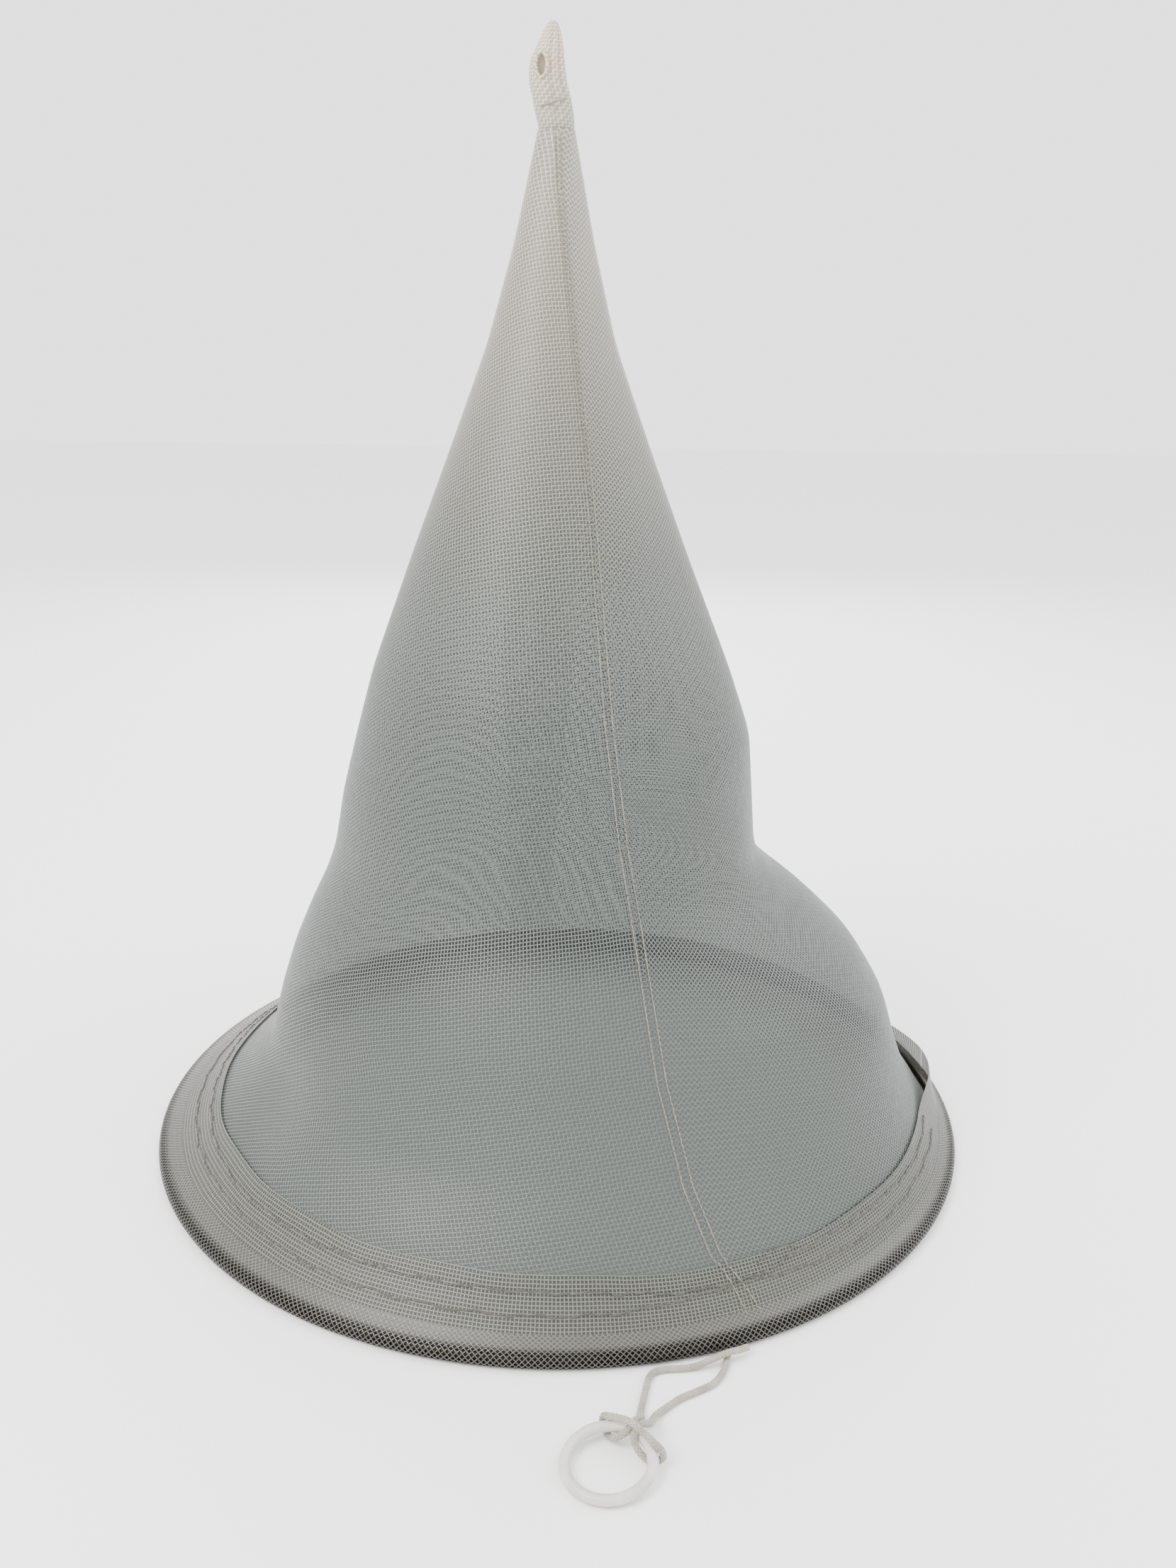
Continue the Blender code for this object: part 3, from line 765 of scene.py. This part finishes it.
def bandSection(s, azimuth):  # down the outer leaf, round the wire, up the inner leaf
    a = math.radians(azimuth)
    uneven = s["wander"] * (math.sin(3 * a + 1) + 0.6 * math.sin(7 * a) + 0.4 * math.sin(17 * a + 2))
    top, foot = s["top"] + uneven, s["foot"]
    heights = [top + (foot - top) * k / s["leafRows"] for k in range(s["leafRows"] + 1)]
    bed = hoopHeight + s["off"] * s["bed"]
    lift = ease(1 - (360 + s["opening"][0] - azimuth) / s["reach"])
    lift = max(lift, ease(1 - (azimuth - s["opening"][1]) / s["reachBehind"]))
    outer = []
    for k, z in enumerate(heights):
        p = wallPoint(a, z, s["off"])
        r, level = p.xy.length, p.z
        share = 1 - k / s["leafRows"] * s["tuck"]
        upR = hoopRadius + (s["corner"][0] - hoopRadius) * share
        upZ = bed + (s["corner"][1] - bed) * share
        outer.append((r + (upR - r) * lift, level + (upZ - level) * lift))
    wrap = []
    for k in range(s["wrapRows"] + 1):
        angle = math.radians(s["wrapFrom"] - s["wrapTurn"] * k / s["wrapRows"])
        wrap.append((hoopRadius + hoopSettings["roll"] * math.cos(angle),
                     hoopHeight + hoopSettings["roll"] * math.sin(angle)))
    inner = [wallPoint(a, z, -s["off"]) for z in reversed(heights[:-1])]
    return outer + wrap + [(p.xy.length, p.z) for p in inner]


def makeBand(s):
    start, stop = s["opening"][1], 360 + s["opening"][0]
    points, rowLength = [], 0
    for k in range(s["columns"] + 1):
        azimuth = start + (stop - start) * k / s["columns"]
        section = bandSection(s, azimuth)
        rowLength = len(section)
        a = math.radians(azimuth)
        points += [(r * math.cos(a), r * math.sin(a), z) for r, z in section]
    obj = meshObject("hemBand", points, gridFaces(s["columns"] + 1, rowLength), bandCloth)
    obj.data.materials.append(rollCloth)
    layer = obj.data.uv_layers.new(name="cloth")
    section = bandSection(s, s["plain"])
    down = [0.0]
    for (r0, z0), (r1, z1) in zip(section, section[1:]):
        down.append(down[-1] + math.hypot(r1 - r0, z1 - z0))
    rollFirst, rollLast = s["leafRows"], s["leafRows"] + 1 + s["wrapRows"]
    for face in obj.data.polygons:
        onRoll = all(rollFirst <= v % rowLength <= rollLast for v in face.vertices)
        face.material_index = 1 if onRoll else 0
        for index in face.loop_indices:
            v = obj.data.loops[index].vertex_index
            u = math.radians((stop - start) * (v // rowLength) / s["columns"]) * hoopRadius
            w = down[v % rowLength]
            layer.data[index].uv = ((u + w) * s["bias"], (u - w) * s["bias"]) if onRoll else (u, w)
    normalsOut(obj)
    return obj


hemBand = makeBand(bandSettings)
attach(hemBand, hemBody)
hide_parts("hem_band")

print("stage: mesh cone")
coneSettings = dict(columns=200, rowStep=2.2 * mm, low=13.0 * mm, turn=0.355, keep=0.4, fixed=18.0 * mm,
                    ridge=0.35 * mm, ridgeWide=2.0 * mm, beyond=12 * mm, fade=8 * mm)
# shallow buckles in the stiff cloth: azimuth, its width, height, its width, depth, in degrees and mm
buckles = [(-132, 9, 27, 12, 1.3), (-148, 9, 34, 14, -1.0), (-112, 8, 22, 8, 0.9), (-30, 12, 104, 12, 0.8),
           (10, 12, 100, 10, -0.7), (150, 14, 98, 14, 0.6), (60, 10, 60, 25, 0.9), (120, 12, 50, 25, -0.8),
           (-60, 10, 60, 22, 0.6)]


def buckled(azimuth, height):
    total = 0.0
    for a, wide, z, tall, depth in buckles:
        turn = (math.degrees(azimuth) - a + 180) % 360 - 180
        total += depth * math.exp(-(turn / wide) ** 2 - ((height / mm - z) / tall) ** 2)
    return total * mm


def conePoint(s, azimuth, height, off=0.0):
    share = ease((height - s["low"]) / s["fade"])
    return wallPoint(azimuth, height, off + buckled(azimuth, height) * share)


def makeCone(s):
    top = wallHigh
    count = round((top - s["low"]) / s["rowStep"])
    columns = s["columns"]
    points, cloth = [], []
    slant = [0.0] * (columns + 1)
    previous = None
    for i in range(count + 1):  # tip first, so that the cloth's pattern can be laid out flat from there
        z = top + (s["low"] - top) * i / count
        start = seamAzimuth(z)
        row = []
        for j in range(columns + 1):
            azimuth = start - 2 * math.pi * j / columns
            beside = min(j, columns - j) * 2 * math.pi * wallRadius(azimuth, z) / columns
            row.append(conePoint(s, azimuth, z, s["ridge"] * math.exp(-(beside / s["ridgeWide"]) ** 2)))
        if previous:
            slant = [length + (a - b).length for length, a, b in zip(slant, row, previous)]
        for j in range(columns + 1):
            angle = 2 * math.pi * s["turn"] * j / columns
            reach = slant[j] + s["beyond"]
            cloth.append((reach * math.sin(angle), reach * math.cos(angle)))
        points += row
        previous = row
    obj = meshObject("meshCone", points, gridFaces(count + 1, columns + 1), coneCloth)
    addUv(obj, "cloth", cloth)
    weld(obj)
    normalsOut(obj)
    return obj


def squashWithCone(obj):
    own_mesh(obj)


meshCone = makeCone(coneSettings)
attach(meshCone, hemBody)
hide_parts(*coneNodes)
squashWithCone(meshCone)
print("  cone area", round(clothArea(meshCone), 4))

print("stage: back lap")
lapSettings = dict(off=-1.1 * mm, columns=10, rows=70, low=20.0 * mm, high=296.0 * mm, wave=0.35 * mm,
                   waveLong=9 * mm, across=0.96, lean=0.2, upright=0.98)
# height, and the azimuths of its two edges
lapEdges = [(18.0, 92.0, 101.0), (68.0, 92.0, 104.0), (122.0, 89.0, 108.0), (164.0, 85.5, 112.5),
            (296.0, 78.0, 122.0)]


def makeLap(s):
    points, cloth = [], []
    for i in range(s["rows"] + 1):
        z = s["low"] + (s["high"] - s["low"]) * i / s["rows"]
        first = between([(h, a) for h, a, _ in lapEdges], z / mm)
        last = between([(h, b) for h, _, b in lapEdges], z / mm)
        for j in range(s["columns"] + 1):
            edge = abs(2 * j / s["columns"] - 1)
            wave = s["wave"] * math.sin(z / s["waveLong"]) * edge ** 3
            azimuth = math.radians(first + (last - first) * j / s["columns"])
            points.append(conePoint(coneSettings, azimuth, z, s["off"] + wave))
            girth = azimuth * wallRadius(azimuth, z)
            cloth.append((girth * s["across"] + z * s["lean"], z * s["upright"]))
    obj = meshObject("backLap", points, gridFaces(s["rows"] + 1, s["columns"] + 1), lapCloth)
    addUv(obj, "cloth", cloth)
    normalsOut(obj)
    return obj


backLap = makeLap(lapSettings)
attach(backLap, hemBody)
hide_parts("back_lap")
squashWithCone(backLap)
print("  lap area", round(clothArea(backLap), 4))

print("stage: stitching")
hemStitches = dict(pitch=3.0 * mm, length=2.6 * mm, thread=0.25 * mm, lift=0.28 * mm, seed=3)
seamStitches = dict(pitch=1.75 * mm, length=1.5 * mm, thread=0.19 * mm, lift=0.24 * mm, seed=8)
tackStitches = dict(pitch=1.5 * mm, length=1.5 * mm, thread=0.2 * mm, lift=0.25 * mm, seed=5)
stitchShape = dict(sunk=-1.2, bow=2.0, rounds=7, skew=(0.05, 0.05, 0.13), smallest=0.84, largest=1.1)


class NodeGroup:  # short calls for building a geometry tree
    def __init__(self, name, numbers):
        self.tree = bpy.data.node_groups.new(name, "GeometryNodeTree")
        face = self.tree.interface
        face.new_socket("Geometry", in_out="INPUT", socket_type="NodeSocketGeometry")
        self.ids = {}
        for label, kind in numbers:
            self.ids[label] = face.new_socket(label, in_out="INPUT", socket_type=kind).identifier
        face.new_socket("Geometry", in_out="OUTPUT", socket_type="NodeSocketGeometry")
        self.given = self.tree.nodes.new("NodeGroupInput")
        self.result = self.tree.nodes.new("NodeGroupOutput")

    def node(self, kind, inputs=(), **values):
        made = self.tree.nodes.new(kind)
        for key, value in values.items():
            setattr(made, key, value)
        for key, value in inputs:
            if isinstance(value, bpy.types.NodeSocket):
                self.tree.links.new(value, made.inputs[key])
            else:
                made.inputs[key].default_value = value
        return made

    def math(self, operation, a, b):
        return self.node("ShaderNodeMath", [(0, a), (1, b)], operation=operation).outputs[0]


def stitchNodes():  # a short bowed piece of thread, repeated along a line and turned to the cloth
    g = NodeGroup("stitches", [("Pitch", "NodeSocketFloat"), ("Stitch length", "NodeSocketFloat"),
                               ("Thread radius", "NodeSocketFloat"), ("Lift", "NodeSocketFloat"),
                               ("Seed", "NodeSocketInt"), ("Material", "NodeSocketMaterial")])
    given = g.given.outputs
    s = stitchShape
    half = g.math("MULTIPLY", given["Stitch length"], 0.5)
    sunk = g.math("MULTIPLY", given["Thread radius"], s["sunk"])
    crest = g.math("MULTIPLY", given["Lift"], s["bow"])
    start = g.node("ShaderNodeCombineXYZ", [("X", g.math("MULTIPLY", half, -1.0)), ("Z", sunk)])
    middle = g.node("ShaderNodeCombineXYZ", [("Z", crest)])
    end = g.node("ShaderNodeCombineXYZ", [("X", half), ("Z", sunk)])
    bow = g.node("GeometryNodeCurveQuadraticBezier",
                 [("Resolution", s["rounds"]), ("Start", start.outputs[0]),
                  ("Middle", middle.outputs[0]), ("End", end.outputs[0])])
    circle = g.node("GeometryNodeCurvePrimitiveCircle",
                    [("Resolution", s["rounds"]), ("Radius", given["Thread radius"])])
    stitch = g.node("GeometryNodeCurveToMesh",
                    [("Curve", bow.outputs[0]), ("Profile Curve", circle.outputs[0]), ("Fill Caps", True)])
    line = g.node("GeometryNodeMeshToCurve", [("Mesh", given["Geometry"])])
    spaced = g.node("GeometryNodeResampleCurve", [("Curve", line.outputs[0]), ("Length", given["Pitch"])],
                    mode="LENGTH")
    along = g.node("GeometryNodeInputTangent")
    out = g.node("GeometryNodeInputNamedAttribute", [("Name", "out")], data_type="FLOAT_VECTOR")
    first = g.node("FunctionNodeAlignRotationToVector", [("Vector", along.outputs[0])], axis="X")
    turned = g.node("FunctionNodeAlignRotationToVector",
                    [("Rotation", first.outputs[0]), ("Vector", out.outputs[0])], axis="Z", pivot_axis="X")
    skew = g.node("FunctionNodeRandomValue",
                  [("Min", tuple(-x for x in s["skew"])), ("Max", s["skew"]), ("Seed", given["Seed"])],
                  data_type="FLOAT_VECTOR")
    skewed = g.node("FunctionNodeRotateRotation",
                    [("Rotation", turned.outputs[0]), ("Rotate By", skew.outputs[0])],
                    rotation_space="LOCAL")
    size = g.node("FunctionNodeRandomValue",
                  [(2, s["smallest"]), (3, s["largest"]), ("Seed", given["Seed"])], data_type="FLOAT")
    placed = g.node("GeometryNodeInstanceOnPoints",
                    [("Points", spaced.outputs[0]), ("Instance", stitch.outputs[0]),
                     ("Rotation", skewed.outputs[0]), ("Scale", size.outputs[1])])
    real = g.node("GeometryNodeRealizeInstances", [("Geometry", placed.outputs[0])])
    painted = g.node("GeometryNodeSetMaterial",
                     [("Geometry", real.outputs[0]), ("Material", given["Material"])])
    g.tree.links.new(painted.outputs[0], g.result.inputs[0])
    return g


stitchGroup = stitchNodes()


def stitchLine(name, points, outs, s, material):  # stitches along the points, as a plain mesh
    mesh = bpy.data.meshes.new(name + "Line")
    mesh.from_pydata([tuple(p) for p in points], [(k, k + 1) for k in range(len(points) - 1)], [])
    facing = mesh.attributes.new("out", "FLOAT_VECTOR", "POINT")
    for k, out in enumerate(outs):
        facing.data[k].vector = out
    guide = linkNew(bpy.data.objects.new(name + "Line", mesh))
    modifier = guide.modifiers.new("stitches", "NODES")
    modifier.node_group = stitchGroup.tree
    values = {"Pitch": s["pitch"], "Stitch length": s["length"], "Thread radius": s["thread"],
              "Lift": s["lift"], "Seed": s["seed"], "Material": material}
    for label, value in values.items():
        modifier[stitchGroup.ids[label]] = value
    bpy.context.view_layer.update()
    made = bpy.data.meshes.new_from_object(guide.evaluated_get(bpy.context.evaluated_depsgraph_get()))
    bpy.data.objects.remove(guide)
    made.name = name
    made.materials.clear()
    made.materials.append(material)
    made.polygons.foreach_set("material_index", [0] * len(made.polygons))
    made.shade_smooth()
    return linkNew(bpy.data.objects.new(name, made))


# the two hem rows wander, and run together beside the seam: azimuth, height
hemRows = dict(
    hemStitchesLower=[(24, 10.6), (60, 10.0), (120, 10.8), (180, 10.2), (215, 10.9), (240, 9.9),
                      (262, 10.2), (276, 10.6), (286, 12.0), (296, 12.7), (303, 11.6), (315, 10.6),
                      (335, 10.9), (345, 10.4)],
    hemStitchesUpper=[(24, 14.6), (60, 14.9), (120, 14.2), (180, 14.9), (215, 14.0), (240, 14.3),
                      (262, 15.0), (276, 14.9), (286, 13.3), (296, 13.3), (303, 15.2), (315, 15.6),
                      (335, 14.2), (345, 14.8)])
hemRowOff = 1.05 * mm
tailSettings = dict(start=-63.5, span=6.5, height=15.6, rise=2.6, bend=2.4, fall=1.0, off=1.1, lift=0.8,
                    thread=0.17 * mm, step=0.5 * mm)


def wanderedRow(table, off):
    points, outs = [], []
    span = table[-1][0] - table[0][0]
    steps = round(span * 2)
    for k in range(steps + 1):
        degrees = table[0][0] + span * k / steps
        a = math.radians(degrees)
        drift = 0.25 * math.sin(degrees * 0.9) + 0.15 * math.sin(degrees * 2.3 + 1)
        z = (between(table, degrees) + drift) * mm
        points.append(wallPoint(a, z, off))
        outs.append(wallOut(a, z))
    return points, outs


def threadTail(s):  # the loose end left above the rows, to the right of the seam
    line = []
    for k in range(9):
        t = k / 8
        a = math.radians(s["start"] + s["span"] * t)
        z = (s["height"] + s["rise"] * math.sin(t * s["bend"]) - s["fall"] * t) * mm
        line.append(wallPoint(a, z, (s["off"] + s["lift"] * math.sin(t * math.pi)) * mm))
    return tube("threadTail", evenly(catmull(line, 6), s["step"]), s["thread"], 7, hemThread, "strand")


for name, node in (("hemStitchesLower", "hem_stitching_lower"), ("hemStitchesUpper", "hem_stitching_upper")):
    rowPoints, rowOuts = wanderedRow(hemRows[name], hemRowOff)
    row = stitchLine(name, rowPoints, rowOuts, hemStitches, hemThread)
    if name == "hemStitchesUpper":
        joinInto(row, [threadTail(tailSettings)])
    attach(row, hemBody)
    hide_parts(node)


# the two rows close in on each other towards the tip, and go on over the hem below the cone
seamSettings = dict(step=1.5 * mm, apart=2.9 * mm, closeIn=1.4 * mm, low=18.5 * mm, high=322 * mm,
                    off=0.5 * mm, coneFrom=19 * mm, footLow=6.5 * mm, footHigh=17.5 * mm, footOff=1.0 * mm,
                    footSpread=1.35)


def seamRow(s, beside, low, high, off):
    points, outs = [], []
    steps = round((high - low) / s["step"])
    for k in range(steps + 1):
        z = low + (high - low) * k / steps
        apart = s["apart"] - s["closeIn"] * k / steps
        a = seamAzimuth(z, beside * apart)
        points.append(conePoint(coneSettings, a, z, off) if z > s["coneFrom"] else wallPoint(a, z, off))
        outs.append(wallOut(a, z))
    return points, outs


for name, node, beside in (("seamStitchesLeft", "seam_stitching_left", -0.5),
                           ("seamStitchesRight", "seam_stitching_right", 0.5)):
    seam = seamSettings
    rowPoints, rowOuts = seamRow(seam, beside, seam["low"], seam["high"], seam["off"])
    row = stitchLine(name, rowPoints, rowOuts, seamStitches, seamThread)
    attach(row, hemBody)
    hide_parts(node)
    squashWithCone(row)
    footBeside = beside * seam["footSpread"]
    rowPoints, rowOuts = seamRow(seam, footBeside, seam["footLow"], seam["footHigh"], seam["footOff"])
    foot = stitchLine(name + "Foot", rowPoints, rowOuts, seamStitches, seamThread)
    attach(foot, hemBody)

print("stage: tip")
# the folded end: height, middle, half width, half depth, in mm
tipSections = [(324.6, -3.4, 5.3, 4.9), (327.0, -3.7, 5.5, 4.9), (330.0, -4.3, 5.7, 4.5),
               (333.5, -5.0, 5.7, 4.1), (337.0, -5.9, 5.6, 3.8), (340.0, -6.2, 5.4, 3.5),
               (343.0, -6.2, 5.0, 3.3), (346.0, -5.7, 4.2, 3.0), (349.0, -5.2, 3.2, 2.4),
               (351.4, -4.9, 2.3, 1.9), (352.9, -4.7, 1.5, 1.3), (353.5, -4.6, 0.8, 0.7)]
tipSettings = dict(around=56, steps=4, girth=30 * mm, rim=0.6, crease=0.8)
# edges of the roll: angle round the tip, width, height it starts at, height it takes, share of the crease
tipFolds = [(4.9, 0.16, 325, 6, 1.0), (5.5, 0.12, 330, 5, 0.7)]
# the eye is a recess from the front: middle, half width and half height, and its floor's depth
eyeSettings = dict(x=-7.9, z=341.6, wide=1.4, tall=3.1, floor=-0.6, cutter=30.0, sides=40,
                   rimWide=0.25, rimTall=0.3, rimSunk=0.08)


def foldDepth(s, angle, height):
    total = 0.0
    for middle, wide, low, rise, share in tipFolds:
        crease = s["crease"] * share * math.exp(-((angle - middle) / wide) ** 2)
        total += crease * ease((height - low) / rise)
    return total


def makeTip(s):
    route = [Vector((z, x, w)) for z, x, w, _ in tipSections]
    depth = [Vector((z, d, 0)) for z, _, _, d in tipSections]
    smooth, deep = catmull(route, s["steps"]), catmull(depth, s["steps"])
    points, cloth = [], []
    for p, d in zip(smooth, deep):
        for k in range(s["around"] + 1):
            a = 2 * math.pi * k / s["around"]
            grow = 1 - foldDepth(s, a, p.x) / 4
            points.append(Vector((p.y + p.z * math.cos(a) * grow, d.y * math.sin(a) * grow, p.x)) * mm)
            cloth.append((k / s["around"] * s["girth"], p.x * mm))
    rows = len(smooth)
    faces = gridFaces(rows, s["around"] + 1)
    faces.append(tuple(reversed(range(s["around"]))))
    faces.append(tuple(range((rows - 1) * (s["around"] + 1), rows * (s["around"] + 1) - 1)))
    tab = meshObject("tipTab", points, faces, tipCloth)
    addUv(tab, "cloth", cloth)
    weld(tab)
    normalsOut(tab)
    return cutEye(tab, eyeSettings)


def cutEye(tab, s):
    upright = (math.pi / 2, 0, 0)
    bpy.ops.mesh.primitive_cylinder_add(vertices=s["sides"], radius=1.0, depth=1.0, rotation=upright)
    cutter = bpy.context.object
    cutter.scale = (s["wide"] * mm, s["tall"] * mm, s["cutter"] * mm)
    cutter.location = (s["x"] * mm, (s["floor"] - s["cutter"] / 2) * mm, s["z"] * mm)
    cut = tab.modifiers.new("eye", "BOOLEAN")
    cut.operation = "DIFFERENCE"
    cut.object = cutter
    bpy.context.view_layer.update()
    made = bpy.data.meshes.new_from_object(tab.evaluated_get(bpy.context.evaluated_depsgraph_get()))
    tab.modifiers.clear()
    tab.data = made
    bpy.data.objects.remove(cutter)
    made.shade_smooth()
    made.set_sharp_from_angle(angle=math.radians(50))
    return tab


def eyeRim(s, side):  # the fold's rolled edge round the eye
    line = []
    for k in range(s["sides"]):
        a = 2 * math.pi * k / s["sides"]
        px = s["x"] + (s["wide"] + s["rimWide"]) * math.cos(a)
        pz = s["z"] + (s["tall"] + s["rimTall"]) * math.sin(a)
        height = between([(r[0], r[3]) for r in tipSections], pz)
        width = between([(r[0], r[2]) for r in tipSections], pz)
        middle = between([(r[0], r[1]) for r in tipSections], pz)
        off = min(abs(px - middle) / width, 0.97)
        y = side * (height * math.sqrt(1 - off ** 2) - s["rimSunk"])
        line.append(Vector((px, y, pz)) * mm)
    return tube("eyeRim", line, tipSettings["rim"] * mm, 10, tipCloth, "cloth", closed=True)


tipTab = makeTip(tipSettings)
joinInto(tipTab, [eyeRim(eyeSettings, -1), eyeRim(eyeSettings, 1)])
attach(tipTab, tipBody)
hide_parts("tip_tab")

tackRoute = [(-7.6, -3.9, 330.6), (-5.6, -4.55, 331.2), (-3.2, -4.55, 331.9), (-0.9, -3.7, 332.6)]
tackPoints = evenly(catmull([Vector(p) * mm for p in tackRoute], 6), 0.4 * mm)
tack = stitchLine("tipTack", tackPoints, [Vector((0, -1, 0))] * len(tackPoints), tackStitches, seamThread)
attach(tack, tipBody)
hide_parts("tip_tack")
